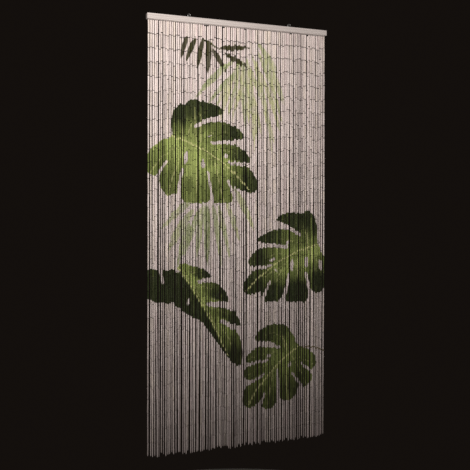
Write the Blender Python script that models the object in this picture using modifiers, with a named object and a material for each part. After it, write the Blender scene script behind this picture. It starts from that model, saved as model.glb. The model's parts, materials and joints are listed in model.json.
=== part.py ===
"""Bamboo tube door curtain: a painted wooden batten with two screw eyes on top, and ninety strands below.

Metres, +Z up, +X along the batten, -Y towards the viewer. The origin is the middle of the batten's top face.
"""

import math
import random

import bmesh
import bpy

# Batten
BATTEN_LENGTH = 0.900
BATTEN_HEIGHT = 0.025
BATTEN_DEPTH = 0.026
EASED_EDGE = 0.0018

# Screw eyes
EYE_PLACE = 0.280 * BATTEN_LENGTH
EYE_WIRE = 0.0024
EYE_OUTER = 0.0156
EYE_NECK = 0.0012
SHANK_RADIUS = 0.0013
SHANK_DEPTH = 0.014
SHANK_TIP = 0.004
PILOT_CLEARANCE = 0.0003
RING_STEPS = 24
WIRE_STEPS = 8
TURNED_STEPS = 12

# Strip that carries the strands
GAP = 0.0003
STRIP_LENGTH = 0.886
STRIP_THICKNESS = 0.0012
STRIP_WIDTH = 0.0074

# Strands
STRANDS = 90
PITCH = 0.00987
OVERALL_DROP = 2.000
STRAND_SIDE = 0.0064
LINK_SIDE = 0.0018
LINK_LENGTH = 0.0010
SHOULDER_LENGTH = 0.0010
TIP_LENGTH = 0.012
UNEVEN_ENDS = 0.028
ROOT_SLIP = 0.0008
SWAY_ACROSS = 0.0007
SWAY_DEPTH = 0.0016
TURN_ACROSS = 5.0
TURN_DEPTH = 6.0
SLACK_POWER = 0.6
SWAY_SEED = 90

# Share of a strand's length, and how wide it is there beside its full width
BENDS = [
    {"share": 0.16, "width": 1.00},
    {"share": 0.34, "width": 0.95},
    {"share": 0.52, "width": 1.00},
    {"share": 0.69, "width": 0.95},
    {"share": 0.85, "width": 1.00},
]


def clear_scene():
    for obj in list(bpy.data.objects):
        bpy.data.objects.remove(obj, do_unlink=True)


def collection(name):
    made = bpy.data.collections.new(name)
    bpy.context.scene.collection.children.link(made)
    return made


def material(name, colour, roughness, metallic=0.0):
    made = bpy.data.materials.new(name)
    made.use_nodes = True
    shader = made.node_tree.nodes["Principled BSDF"]
    shader.inputs["Base Color"].default_value = (*colour, 1.0)
    shader.inputs["Roughness"].default_value = roughness
    shader.inputs["Metallic"].default_value = metallic
    return made


def place(obj, group, finish=None):
    for old in list(obj.users_collection):
        old.objects.unlink(obj)
    group.objects.link(obj)
    if finish:
        obj.data.materials.clear()
        obj.data.materials.append(finish)
    return obj


def box(name, size, centre):
    bpy.ops.mesh.primitive_cube_add(size=1.0, location=centre)
    made = bpy.context.object
    made.name = name
    made.scale = size
    bpy.ops.object.transform_apply(location=False, rotation=False, scale=True)
    return made


def cutter(obj, group):
    place(obj, group)
    obj.hide_render = True
    obj.display_type = "WIRE"
    return obj


def boolean(obj, other, operation):
    joint = obj.modifiers.new(operation.title() + " " + other.name, "BOOLEAN")
    joint.operation = operation
    joint.solver = "EXACT"
    joint.object = other
    return joint


def smooth(obj, angle=math.radians(35)):
    obj.data.shade_smooth()
    obj.data.set_sharp_from_angle(angle=angle)


def mesh_of_curve(curve_object):
    """The curve as a mesh object of the same name, with its end caps welded on."""
    graph = bpy.context.evaluated_depsgraph_get()
    mesh = bpy.data.meshes.new_from_object(curve_object.evaluated_get(graph))
    work = bmesh.new()
    work.from_mesh(mesh)
    bmesh.ops.remove_doubles(work, verts=work.verts, dist=1e-6)
    bmesh.ops.recalc_face_normals(work, faces=work.faces)
    work.to_mesh(mesh)
    work.free()
    made = bpy.data.objects.new(curve_object.name + "_mesh", mesh)
    made.matrix_world = curve_object.matrix_world
    bpy.context.scene.collection.objects.link(made)
    bpy.data.objects.remove(curve_object, do_unlink=True)
    return made


def pilot_hole(name, x, cutters):
    """The bore that a screw eye's shank turns into, open at the batten's top face."""
    above = 0.002
    depth = SHANK_DEPTH + PILOT_CLEARANCE
    bpy.ops.mesh.primitive_cylinder_add(
        vertices=TURNED_STEPS,
        radius=SHANK_RADIUS + PILOT_CLEARANCE,
        depth=depth + above,
        location=(x, 0.0, (above - depth) / 2),
    )
    hole = bpy.context.object
    hole.name = name
    return cutter(hole, cutters)


def batten(group, cutters, finish):
    obj = box(
        "header_batten",
        (BATTEN_LENGTH, BATTEN_DEPTH, BATTEN_HEIGHT),
        (0.0, 0.0, -BATTEN_HEIGHT / 2),
    )
    edges = obj.modifiers.new("Eased edges", "BEVEL")
    edges.width = EASED_EDGE
    edges.segments = 2
    for side, x in (("left", -EYE_PLACE), ("right", EYE_PLACE)):
        boolean(obj, pilot_hole("pilot_hole_" + side, x, cutters), "DIFFERENCE")
    smooth(obj)
    return place(obj, group, finish)


def shank(name, x, cutters):
    """The straight, pointed end of a screw eye: a profile turned about the eye's upright axis."""
    into_ring = EYE_NECK + EYE_WIRE / 2
    profile = [
        (0.0, into_ring),
        (SHANK_RADIUS, into_ring),
        (SHANK_RADIUS, -SHANK_DEPTH + SHANK_TIP),
        (SHANK_RADIUS / 3, -SHANK_DEPTH),
        (0.0, -SHANK_DEPTH),
    ]
    mesh = bpy.data.meshes.new(name)
    work = bmesh.new()
    corners = [work.verts.new((radius, 0.0, height)) for radius, height in profile]
    for upper, lower in zip(corners, corners[1:]):
        work.edges.new((upper, lower))
    work.to_mesh(mesh)
    work.free()
    obj = bpy.data.objects.new(name, mesh)
    obj.location = (x, 0.0, 0.0)
    turn = obj.modifiers.new("Turn", "SCREW")
    turn.steps = turn.render_steps = TURNED_STEPS
    turn.use_merge_vertices = True
    turn.merge_threshold = 0.00001
    bpy.context.scene.collection.objects.link(obj)
    return cutter(obj, cutters)


def screw_eye(side, x, group, cutters, finish):
    """One ring of bent wire that faces the viewer, on a shank that goes down into the batten."""
    bpy.ops.mesh.primitive_torus_add(
        major_segments=RING_STEPS,
        minor_segments=WIRE_STEPS,
        major_radius=(EYE_OUTER - EYE_WIRE) / 2,
        minor_radius=EYE_WIRE / 2,
        location=(x, 0.0, EYE_NECK + EYE_OUTER / 2),
        rotation=(math.pi / 2, 0.0, 0.0),
    )
    obj = bpy.context.object
    obj.name = "screw_eye_" + side
    bpy.ops.object.transform_apply(location=False, rotation=True, scale=False)
    boolean(obj, shank("shank_" + side, x, cutters), "UNION")
    smooth(obj)
    return place(obj, group, finish)


def strand_habits():
    """How each strand hangs: its place along the strip, where its sway starts, and how much shorter it is."""
    chance = random.Random(SWAY_SEED)
    for index in range(STRANDS):
        slip = ROOT_SLIP * (2 * chance.random() - 1)
        yield {
            "x": (index - (STRANDS - 1) / 2) * PITCH + slip,
            "across": 2 * math.pi * chance.random(),
            "depth": 2 * math.pi * chance.random(),
            "short": UNEVEN_ENDS * (chance.random() + chance.random()) / 2,
        }


def strand_point(habit, share):
    """Where the middle of a strand lies, at a share of its drop from the strip to its end."""
    slack = share**SLACK_POWER
    x = habit["x"] + SWAY_ACROSS * slack * math.sin(TURN_ACROSS * share + habit["across"])
    y = SWAY_DEPTH * slack * math.sin(TURN_DEPTH * share + habit["depth"])
    top = -BATTEN_HEIGHT - GAP - STRIP_THICKNESS / 2
    end = -OVERALL_DROP + habit["short"]
    return x, y, top + share * (end - top)


def strand_sections(habit):
    """The strand from root to tip, as (point, width) rows: a thin link, a shoulder, the bends and a point."""
    root_x, root_y, root_z = strand_point(habit, 0.0)
    link = root_z - STRIP_THICKNESS / 2 - LINK_LENGTH
    end_x, end_y, end_z = strand_point(habit, 1.0)
    yield (root_x, root_y, root_z), LINK_SIDE
    yield (root_x, root_y, link), LINK_SIDE
    yield (root_x, root_y, link - SHOULDER_LENGTH), STRAND_SIDE
    for bend in BENDS:
        yield strand_point(habit, bend["share"]), STRAND_SIDE * bend["width"]
    yield (end_x, end_y, end_z + TIP_LENGTH), STRAND_SIDE
    yield (end_x, end_y, end_z), LINK_SIDE


def strands(group, cutters, finish):
    """Ninety square strands, each a four-sided tube on its own line, joined by their roots to a narrow strip."""
    curve = bpy.data.curves.new("strand_lines", "CURVE")
    curve.dimensions = "3D"
    curve.twist_mode = "MINIMUM"
    curve.bevel_depth = STRAND_SIDE / math.sqrt(2)
    curve.bevel_resolution = 0
    curve.use_fill_caps = True
    for habit in strand_habits():
        sections = list(strand_sections(habit))
        line = curve.splines.new("POLY")
        line.points.add(len(sections) - 1)
        for point, (place_m, width) in zip(line.points, sections):
            point.co = (*place_m, 1.0)
            point.radius = width / STRAND_SIDE
            point.tilt = math.pi / 4
    lines = bpy.data.objects.new("strand_lines", curve)
    bpy.context.scene.collection.objects.link(lines)
    hung = cutter(mesh_of_curve(lines), cutters)
    strip_top = -BATTEN_HEIGHT - GAP
    obj = box(
        "tube_strands",
        (STRIP_LENGTH, STRIP_WIDTH, STRIP_THICKNESS),
        (0.0, 0.0, strip_top - STRIP_THICKNESS / 2),
    )
    boolean(obj, hung, "UNION")
    return place(obj, group, finish)


def main():
    clear_scene()
    parts = collection("Bamboo door curtain")
    cutters = collection("Cutters")
    paint = material("White painted wood", (0.74, 0.68, 0.65), 0.62)
    tubes = material("White painted bamboo", (0.70, 0.64, 0.61), 0.55)
    steel = material("Zinc plated steel", (0.62, 0.61, 0.60), 0.35, metallic=1.0)
    batten(parts, cutters, paint)
    screw_eye("left", -EYE_PLACE, parts, cutters, steel)
    screw_eye("right", EYE_PLACE, parts, cutters, steel)
    strands(parts, cutters, tubes)


main()
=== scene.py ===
# %% [markdown]
# # A bamboo door curtain, dressed
#
# The curtain is a slim painted batten with two screw eyes on top, and ninety strands of small
# bamboo tubes below it. Green leaves are painted across the strands once they hang side by side.
#
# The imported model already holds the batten, the eyes and one plain bar for each strand. This
# file keeps the batten as it is, gives every surface its real finish, and puts the real tubes,
# wire links and rings where the plain bars are.

import json
import math
import random

import bmesh
import bpy
import numpy as np
from mathutils import Matrix, Vector

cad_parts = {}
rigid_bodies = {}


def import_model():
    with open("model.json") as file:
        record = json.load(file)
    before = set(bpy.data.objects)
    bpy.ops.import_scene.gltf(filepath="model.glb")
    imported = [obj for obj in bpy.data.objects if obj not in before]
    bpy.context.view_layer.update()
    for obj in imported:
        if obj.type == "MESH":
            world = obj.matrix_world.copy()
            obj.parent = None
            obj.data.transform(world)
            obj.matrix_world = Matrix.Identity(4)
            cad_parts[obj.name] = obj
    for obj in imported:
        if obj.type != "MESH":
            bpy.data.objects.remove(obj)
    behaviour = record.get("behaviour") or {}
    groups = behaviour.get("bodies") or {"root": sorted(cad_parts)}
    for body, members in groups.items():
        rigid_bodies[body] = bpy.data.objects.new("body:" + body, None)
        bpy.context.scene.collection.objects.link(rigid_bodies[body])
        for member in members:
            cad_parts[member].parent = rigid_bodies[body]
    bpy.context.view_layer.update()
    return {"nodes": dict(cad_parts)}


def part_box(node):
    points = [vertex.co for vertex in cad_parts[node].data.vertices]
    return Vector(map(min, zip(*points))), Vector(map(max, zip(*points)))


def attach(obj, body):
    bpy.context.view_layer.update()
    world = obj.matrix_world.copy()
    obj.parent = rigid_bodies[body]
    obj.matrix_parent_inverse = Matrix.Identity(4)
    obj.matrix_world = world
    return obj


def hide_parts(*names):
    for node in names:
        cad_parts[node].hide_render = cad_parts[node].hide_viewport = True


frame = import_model()

# %% [markdown]
# ## Camera
#
# The curtain is seen from a little to the left of it, level, from the height of a seated
# person's eyes. The camera looks level so that the strands stay upright in the picture. A lens
# shift, which slides the picture on the sensor, then brings the top of the curtain into view.
# Tilting the camera up instead would make the strands lean together.

# %% Camera
PICTURE_SIDE = 470
EYE_POINT = Vector((-1.2567, -3.2032, -0.8844))
EYE_TURN = math.radians(21.032)
EYE_TILT = math.radians(-0.006)
EYE_ROLL = math.radians(0.089)
LENS_MM = 56.17
SHIFT_PIXELS = -24


def make_camera():
    flat = math.cos(EYE_TILT)
    ahead = Vector((math.sin(EYE_TURN) * flat, math.cos(EYE_TURN) * flat, math.sin(EYE_TILT)))
    level = Vector((math.cos(EYE_TURN), -math.sin(EYE_TURN), 0.0))
    upright = level.cross(ahead)
    right = level * math.cos(EYE_ROLL) + upright * math.sin(EYE_ROLL)
    up = -level * math.sin(EYE_ROLL) + upright * math.cos(EYE_ROLL)
    data = bpy.data.cameras.new("Room_camera")
    data.lens = LENS_MM
    data.shift_y = SHIFT_PIXELS / PICTURE_SIDE
    camera = bpy.data.objects.new("Room_camera", data)
    turned = Matrix((right, up, -ahead)).transposed().to_4x4()
    camera.matrix_world = Matrix.Translation(EYE_POINT) @ turned
    bpy.context.scene.collection.objects.link(camera)
    bpy.context.scene.camera = camera


make_camera()
print("camera at", [round(v, 2) for v in EYE_POINT], "lens", LENS_MM)

# %% [markdown]
# ## A small kit for materials
#
# Each finish is a Principled shader with its colour, roughness and bump worked out by nodes. The
# same few steps come back in every finish: make noise on the object, turn one range of numbers
# into another, mix two colours. Short helpers keep the finishes readable. Every pattern reads
# Object coordinates or an attribute of the mesh, so that it sticks to the piece from any side.
# Noise takes one stretch for each direction: a large one squeezes the pattern that way, so
# uneven ones give grain that runs along the piece.

# %% Helpers for materials
COLOUR_SOCKETS = (6, 7)
COLOUR_RESULT = 2


def finish(name, roughness, metallic=0.0):
    made = bpy.data.materials.new(name)
    made.use_nodes = True
    shader = made.node_tree.nodes["Principled BSDF"]
    shader.inputs["Roughness"].default_value = roughness
    shader.inputs["Metallic"].default_value = metallic
    return made, made.node_tree, shader


def node(tree, kind, **values):
    made = tree.nodes.new(kind)
    for key, value in values.items():
        setattr(made, key, value)
    return made


def plug(tree, value, socket):
    """Links a node's output to a socket, or writes a plain value there."""
    if isinstance(value, bpy.types.NodeSocket):
        tree.links.new(value, socket)
    else:
        socket.default_value = value


def maths(tree, operation, *values, clamp=False):
    made = node(tree, "ShaderNodeMath", operation=operation, use_clamp=clamp)
    for value, socket in zip(values, made.inputs):
        plug(tree, value, socket)
    return made.outputs[0]


def about(tree, value, middle, gain):
    """How far a value is from its middle, made stronger or weaker."""
    return maths(tree, "MULTIPLY", maths(tree, "SUBTRACT", value, middle), gain)


def spread(tree, value, low, high, to_low=0.0, to_high=1.0):
    """Turns the range low..high softly into to_low..to_high, and holds it there outside."""
    made = node(tree, "ShaderNodeMapRange", interpolation_type="SMOOTHSTEP")
    for socket, item in zip(made.inputs, (value, low, high, to_low, to_high)):
        plug(tree, item, socket)
    return made.outputs[0]


def blend_colours(tree, share, *colours):
    made = node(tree, "ShaderNodeMix", data_type="RGBA")
    plug(tree, share, made.inputs["Factor"])
    for value, socket in zip(colours, COLOUR_SOCKETS):
        plug(tree, (*value, 1.0) if isinstance(value, tuple) else value, made.inputs[socket])
    return made.outputs[COLOUR_RESULT]


def noise(tree, stretch, detail=2.0, roughness=0.5):
    """Noise on Object coordinates, with a stretch of its own for each direction."""
    mapping = node(tree, "ShaderNodeMapping")
    plug(tree, node(tree, "ShaderNodeTexCoord").outputs["Object"], mapping.inputs["Vector"])
    mapping.inputs["Scale"].default_value = stretch
    made = node(tree, "ShaderNodeTexNoise")
    plug(tree, mapping.outputs[0], made.inputs["Vector"])
    made.inputs["Scale"].default_value = 1.0
    made.inputs["Detail"].default_value = detail
    made.inputs["Roughness"].default_value = roughness
    return made.outputs[0]


def attribute(tree, name):
    return node(tree, "ShaderNodeAttribute", attribute_name=name).outputs["Fac"]


def bump(tree, shader, height, strength, distance):
    made = node(tree, "ShaderNodeBump")
    made.inputs["Strength"].default_value = strength
    made.inputs["Distance"].default_value = distance
    plug(tree, height, made.inputs["Height"])
    plug(tree, made.outputs[0], shader.inputs["Normal"])


def give_finish(obj, material):
    obj.data.materials.clear()
    obj.data.materials.append(material)


# %% [markdown]
# ## The painted batten
#
# The batten is planed softwood with thin, chalky white paint. The grain still shows as faint
# lines along its length, and the sawn ends are a little greyer because end grain drinks paint.
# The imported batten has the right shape, so it stays and only gets this finish. The lines are
# noise that is squeezed a lot across, and hardly at all along. The ends are found by their
# normals, which point left or right.

# %% Painted wood
BATTEN_WHITE = (0.554, 0.492, 0.462)
BATTEN_SHADE = (0.412, 0.358, 0.336)
END_GREY = (0.278, 0.246, 0.230)
WOOD_GRAIN = (3.0, 260.0, 260.0)
WOOD_CLOUDS = (14.0, 60.0, 60.0)
CLOUDS_MOST = 0.22
ENDS_MOST = 0.62


def painted_wood():
    made, tree, shader = finish("Chalky white paint on wood", 0.62)
    grain = noise(tree, WOOD_GRAIN, 4.0, 0.62)
    clouds = spread(tree, noise(tree, WOOD_CLOUDS, 3.0), 0.35, 0.75, 0.0, CLOUDS_MOST)
    colour = blend_colours(tree, spread(tree, grain, 0.36, 0.66), BATTEN_SHADE, BATTEN_WHITE)
    colour = blend_colours(tree, clouds, colour, BATTEN_SHADE)
    facing = node(tree, "ShaderNodeSeparateXYZ")
    plug(tree, node(tree, "ShaderNodeTexCoord").outputs["Normal"], facing.inputs[0])
    sawn = spread(tree, maths(tree, "ABSOLUTE", facing.outputs[0]), 0.7, 0.9, 0.0, ENDS_MOST)
    plug(tree, blend_colours(tree, sawn, colour, END_GREY), shader.inputs["Base Color"])
    plug(tree, spread(tree, grain, 0.3, 0.7, 0.72, 0.52), shader.inputs["Roughness"])
    bump(tree, shader, grain, 0.30, 0.0006)
    return made


white_wood = painted_wood()
give_finish(frame["nodes"]["header_batten"], white_wood)

# %% [markdown]
# ## Zinc plated wire
#
# Zinc grows a cloudy bloom as it ages. Fine noise mixes a light and a dull grey, and the same
# noise makes the dull parts rougher, so that shine and colour change together.

# %% Zinc plated wire
WIRE_LIGHT = (0.66, 0.65, 0.63)
WIRE_DULL = (0.36, 0.35, 0.34)
ZINC_BLOOM = (420.0, 420.0, 420.0)


def zinc_wire():
    made, tree, shader = finish("Zinc plated wire", 0.34, metallic=1.0)
    bloom = noise(tree, ZINC_BLOOM, 5.0, 0.6)
    colour = blend_colours(tree, spread(tree, bloom, 0.38, 0.68), WIRE_DULL, WIRE_LIGHT)
    plug(tree, colour, shader.inputs["Base Color"])
    plug(tree, spread(tree, bloom, 0.3, 0.7, 0.50, 0.26), shader.inputs["Roughness"])
    bump(tree, shader, bloom, 0.10, 0.0002)
    return made


zinc = zinc_wire()
print("wire finish:", zinc.name)

# %% [markdown]
# ## Screw eyes
#
# Each eye is one piece of zinc plated wire: a threaded shank that goes into the wood, a short
# neck, and a ring whose end comes round to the neck and stops there. A torus would have no
# start and no end, so the wire is a curve with a round bevel instead, and the bevel is as
# thick as the wire. A small domed collar stands where the wire enters the wood.
#
# Curves, and later the hung tubes, become plain meshes of their evaluated shape, so that a
# finished piece carries no modifier. Each piece is then attached to the curtain's body, and the
# imported solid that it stands for is hidden.


# %% Helpers for meshes
def link(obj):
    bpy.context.scene.collection.objects.link(obj)
    return obj


def tidy_mesh(obj, angle=40.0):
    """Doubles merged, faces turned outwards, and soft shading that stays crisp at real edges."""
    work = bmesh.new()
    work.from_mesh(obj.data)
    bmesh.ops.remove_doubles(work, verts=work.verts, dist=1e-6)
    bmesh.ops.recalc_face_normals(work, faces=work.faces)
    work.to_mesh(obj.data)
    work.free()
    obj.data.shade_smooth()
    obj.data.set_sharp_from_angle(angle=math.radians(angle))


def plain_mesh(obj, name):
    """The evaluated result of an object as a new plain mesh object; the old object goes away."""
    graph = bpy.context.evaluated_depsgraph_get()
    mesh = bpy.data.meshes.new_from_object(obj.evaluated_get(graph), depsgraph=graph)
    made = link(bpy.data.objects.new(name, mesh))
    mesh.transform(obj.matrix_world)
    bpy.data.objects.remove(obj, do_unlink=True)
    return made


def part_of_curtain(obj, replaced):
    """Hands a finished piece over: what it rides on, what it stands for."""
    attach(obj, "root")
    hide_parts(replaced)
    return obj


# %% Bent wire eyes
EYE_WIRE = 0.0024
EYE_OUTER = 0.0156
SHANK_DEPTH = 0.013
RING_POINTS = 40
RING_SWEEP = math.radians(346)
WIRE_ROUNDNESS = 4
COLLAR_RADIUS = 0.0021
COLLAR_HEIGHT = 0.0009
COLLAR_SIDES = 20


def wire_path(x, middle):
    """Up the shank, then once round the ring, nearly closed."""
    radius = (EYE_OUTER - EYE_WIRE) / 2
    start = -math.pi / 2
    yield (x, 0.0, -SHANK_DEPTH)
    yield (x, 0.0, -SHANK_DEPTH / 2)
    for step in range(RING_POINTS + 1):
        angle = start + RING_SWEEP * step / RING_POINTS
        yield (x + radius * math.cos(angle), 0.0, middle + radius * math.sin(angle))


def collar_on(obj, x):
    work = bmesh.new()
    work.from_mesh(obj.data)
    bmesh.ops.create_cone(
        work,
        cap_ends=True,
        segments=COLLAR_SIDES,
        radius1=COLLAR_RADIUS,
        radius2=EYE_WIRE / 2,
        depth=COLLAR_HEIGHT,
        matrix=Matrix.Translation((x, 0.0, COLLAR_HEIGHT / 2)),
    )
    work.to_mesh(obj.data)
    work.free()


def wire_eye(side):
    low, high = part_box("screw_eye_" + side)
    x = (low.x + high.x) / 2
    curve = bpy.data.curves.new("eye_wire", "CURVE")
    curve.dimensions = "3D"
    curve.bevel_depth = EYE_WIRE / 2
    curve.bevel_resolution = WIRE_ROUNDNESS
    curve.use_fill_caps = True
    path = list(wire_path(x, high.z - EYE_OUTER / 2))
    line = curve.splines.new("POLY")
    line.points.add(len(path) - 1)
    for point, place in zip(line.points, path):
        point.co = (*place, 1.0)
    obj = plain_mesh(link(bpy.data.objects.new("eye_wire", curve)), "wire_eye_" + side)
    collar_on(obj, x)
    tidy_mesh(obj)
    give_finish(obj, zinc)
    return part_of_curtain(obj, "screw_eye_" + side)


for side in ("left", "right"):
    eye = wire_eye(side)
    print(eye.name, "faces:", len(eye.data.polygons))

# %% [markdown]
# ## The lines that the strands hang on
#
# Each strand hangs on its own line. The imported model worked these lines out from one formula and
# one seed, and the same formula with the same seed gives the same lines here. Two things are
# added. A slow wander, a sum of a few long waves that grow downwards, keeps the strands from
# looking ruled. And at some places two neighbours have parted along the strip, which leaves the
# dark gaps that run from top to bottom. Where two strands would cut into each other, they are
# pushed apart, as real tubes push each other.

# %% Strand lines
STRANDS = 90
PITCH = 0.00987
OVERALL_DROP = 2.000
UNEVEN_ENDS = 0.028
ROOT_SLIP = 0.0008
SWAY_ACROSS = 0.0007
SWAY_DEPTH = 0.0016
TURN_ACROSS = 5.0
TURN_DEPTH = 6.0
SLACK_POWER = 0.6
SWAY_SEED = 90
STRIP_TOP = -0.0253
STRIP_THICKNESS = 0.0012
LEVELS = 64
TUBE_THICKNESS = 0.0079
SIDE_LIMIT = 0.4455
WANDER_ACROSS = 0.0027
WANDER_DEPTH = 0.0026
WANDER_WAVES = 3
WANDER_FIRST_WAVE = 1.3
WANDER_NEXT_WAVE = 2.1
WANDER_AT_TOP = 0.22
WANDER_GROWTH = 1.3
WANDER_LIMIT = 1.5
WANDER_SEED = 23
PUSH_ROUNDS = 30
PUSH_ROOM = 1.03

# Gaps that stay open from top to bottom: place across, how wide, and how far the lean reaches
OPEN_GAPS = [
    (-0.397, 0.0022, 0.020), (-0.374, 0.0008, 0.012), (-0.339, 0.0015, 0.012),
    (-0.280, 0.0012, 0.012), (-0.249, 0.0014, 0.012), (-0.198, 0.0012, 0.012),
    (-0.168, 0.0034, 0.020), (-0.119, 0.0022, 0.015), (-0.088, 0.0012, 0.012),
    (-0.046, 0.0018, 0.012), (-0.017, 0.0010, 0.012), (0.027, 0.0014, 0.012),
    (0.088, 0.0034, 0.020), (0.119, 0.0010, 0.012), (0.155, 0.0014, 0.012),
    (0.205, 0.0016, 0.012), (0.258, 0.0012, 0.012), (0.316, 0.0032, 0.020),
    (0.361, 0.0014, 0.012), (0.411, 0.0012, 0.012),
]


def strand_habits():
    """One row for each strand: its place, where its two sways start, and how much shorter it is."""
    chance = random.Random(SWAY_SEED)
    for index in range(STRANDS):
        slip = ROOT_SLIP * (2 * chance.random() - 1)
        across, depth = 2 * math.pi * chance.random(), 2 * math.pi * chance.random()
        short = UNEVEN_ENDS * (chance.random() + chance.random()) / 2
        yield (index - (STRANDS - 1) / 2) * PITCH + slip, across, depth, short


def slow_wander(chance, share):
    """For every strand a smooth curve about zero that starts at the strip and grows downwards."""
    total = 0.0
    for wave in range(WANDER_WAVES):
        turn = chance.uniform(0, 2 * math.pi, (STRANDS, 1))
        size = chance.normal(0, 1, (STRANDS, 1)).clip(-WANDER_LIMIT, WANDER_LIMIT)
        total = total + size * np.sin((WANDER_FIRST_WAVE + WANDER_NEXT_WAVE * wave) * share + turn)
    growth = np.minimum(1, WANDER_AT_TOP + WANDER_GROWTH * share)
    return total / math.sqrt(WANDER_WAVES) * growth


def push_apart(x, y):
    """Moves neighbours sideways until their tubes no longer cut into each other."""
    need = TUBE_THICKNESS * PUSH_ROOM
    for _ in range(PUSH_ROUNDS):
        beside = np.sqrt(np.maximum(need**2 - (y[1:] - y[:-1]) ** 2, 0.0))
        short = np.maximum(beside - (x[1:] - x[:-1]), 0.0)
        x[:-1] -= short / 2
        x[1:] += short / 2
    return np.clip(x, -SIDE_LIMIT + TUBE_THICKNESS / 2, SIDE_LIMIT - TUBE_THICKNESS / 2)


def strand_lines():
    """Arrays of x and y for every strand and level, and each strand's end height."""
    share = np.linspace(0.0, 1.0, LEVELS)[None, :]
    slack = share**SLACK_POWER
    root, across, depth, short = (np.array(row)[:, None] for row in zip(*strand_habits()))
    x = root + SWAY_ACROSS * slack * np.sin(TURN_ACROSS * share + across)
    y = SWAY_DEPTH * slack * np.sin(TURN_DEPTH * share + depth)
    chance = np.random.default_rng(WANDER_SEED)
    x = x + WANDER_ACROSS * slow_wander(chance, share)
    y = y + WANDER_DEPTH * slow_wander(chance, share)
    for place, wide, reach in OPEN_GAPS:
        away = root - place
        x = x + np.sign(away) * wide / 2 * np.exp(-np.abs(away) / reach)
    return push_apart(x, y), y, (-OVERALL_DROP + short)[:, 0]


line_x, line_y, strand_ends = strand_lines()
print("closest neighbours, mm:", round(float((line_x[1:] - line_x[:-1]).min() * 1000), 2))

# %% [markdown]
# ## Where each tube hangs
#
# A strand is about thirty cut lengths of bamboo, each hung from the one above by a wire link. The
# lengths are cut by hand, so they differ by some millimetres. Near the batten the joints
# still line up in rows, and further down the small differences add up and the rows scatter. A
# few strands start late, on a longer first link. The thicker cuts hang near the top and the
# slimmer ones below, where the joints also close up, so the gaps between the strands open
# downwards. The heights are worked out once, as a running sum of lengths.

# %% Tube places
TUBES_EACH = 31
NATURAL_LENGTH = 0.060
FIRST_TOP = STRIP_TOP - STRIP_THICKNESS - 0.0018
FIRST_SLACK = 0.0009
JOINT_GAP = 0.0025
JOINT_LEAST, JOINT_MOST = 0.55, 1.45
CLOSER_BELOW = 0.66
LENGTH_SPREAD = 0.0040
LENGTH_LIMITS = (-2, 2)
LATE_SHARE = 0.12
LATE_DROP = 0.006
LATE_LEAST = 0.6
THICK_SPREAD = 0.045
STRAND_THICK_SPREAD = 0.055
THICK_LIMITS = (-1.6, 1.2)
SLIMMER_BELOW = 0.39
SLIMMER_POWER = 0.7
CUT_SEED = 31


def tube_rows():
    """Heights of tops and bottoms, and thickness, for all tubes, as arrays of strands by tubes."""
    chance = np.random.default_rng(CUT_SEED)
    shape = (STRANDS, TUBES_EACH)
    uneven = chance.normal(0, 1, shape).clip(*LENGTH_LIMITS)
    weights = 1 + LENGTH_SPREAD / NATURAL_LENGTH * uneven
    is_late = chance.random(STRANDS) < LATE_SHARE
    drop = LATE_DROP * (LATE_LEAST + (1 - LATE_LEAST) * chance.random(STRANDS))
    late = np.where(is_late, drop, 0.0)
    first = FIRST_TOP - FIRST_SLACK * chance.random(STRANDS) - late
    reach = first - strand_ends
    pitch = weights / weights.sum(axis=1, keepdims=True) * (reach + JOINT_GAP)[:, None]
    tops = first[:, None] - np.cumsum(pitch, axis=1) + pitch
    down = np.linspace(0, 1, TUBES_EACH)[None, :]
    joint = JOINT_GAP * (1 - CLOSER_BELOW * np.sqrt(down))
    bottoms = tops - pitch + joint * chance.uniform(JOINT_LEAST, JOINT_MOST, shape)
    bottoms[:, -1] = strand_ends
    own = THICK_SPREAD * chance.normal(0, 1, shape).clip(*THICK_LIMITS)
    strand = STRAND_THICK_SPREAD * chance.normal(0, 1, (STRANDS, 1)).clip(*THICK_LIMITS)
    thick = TUBE_THICKNESS * (1 + own + strand - SLIMMER_BELOW * down**SLIMMER_POWER)
    return tops, bottoms, thick


def on_line(table, heights):
    """The value of a strand line, x or y, at the given heights of every strand."""
    top = STRIP_TOP - STRIP_THICKNESS / 2
    found = np.empty_like(heights)
    for index in range(STRANDS):
        share = (top - heights[index]) / (top - strand_ends[index])
        found[index] = np.interp(share, np.linspace(0, 1, LEVELS), table[index])
    return found


tube_tops, tube_bottoms, tube_thick = tube_rows()
mean_length = float((tube_tops - tube_bottoms).mean())
print("tubes:", tube_tops.size, "mean length, mm:", round(mean_length * 1000, 1))

# %% [markdown]
# ## A few kinds of bamboo tube
#
# A tube is a short cut of thin bamboo with a bore through it. None is quite round or straight:
# some swell at a node, some taper, some bow. Six kinds are enough, because each tube is also
# turned, stretched and thickened by chance. Each kind is a row of rings, joined by faces, with
# an eased edge at both ends and a shallow, sunken bore whose bottom is painted dark: painted
# shade, in place of a bore that runs right through. As the shape is repeated thousands of times
# it has only eight sides. The seventh kind, for the lowest tube, closes to a blunt point, with
# painted shade at its end.

# %% Tube kinds
SIDES = 8
EASE = 0.0007
LIP_RADIUS = 0.44
BORE_RADIUS = 0.28
BORE_DEPTH = 0.0016
BODY_RINGS = [0.0, 0.17, 0.34, 0.50, 0.66, 0.83, 1.0]
TIP_DRAWN_IN = 0.86
TIP_LENGTH = 0.004
TUBE_CREASE = math.radians(50)
MAP_NAME = "OFBake"
WALL_PATCH = 0.90
CAP_HEIGHT = 0.955
CAP_WIDE, CAP_HIGH = 0.10, 0.03
CAP_MIDDLES = (0.25, 0.75)

# Height above the end, radius and painted bore shade of the two rings that close a tip
TIP_RINGS = [(0.0012, 0.27, 0.0), (0.0, 0.12, 0.6)]

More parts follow.
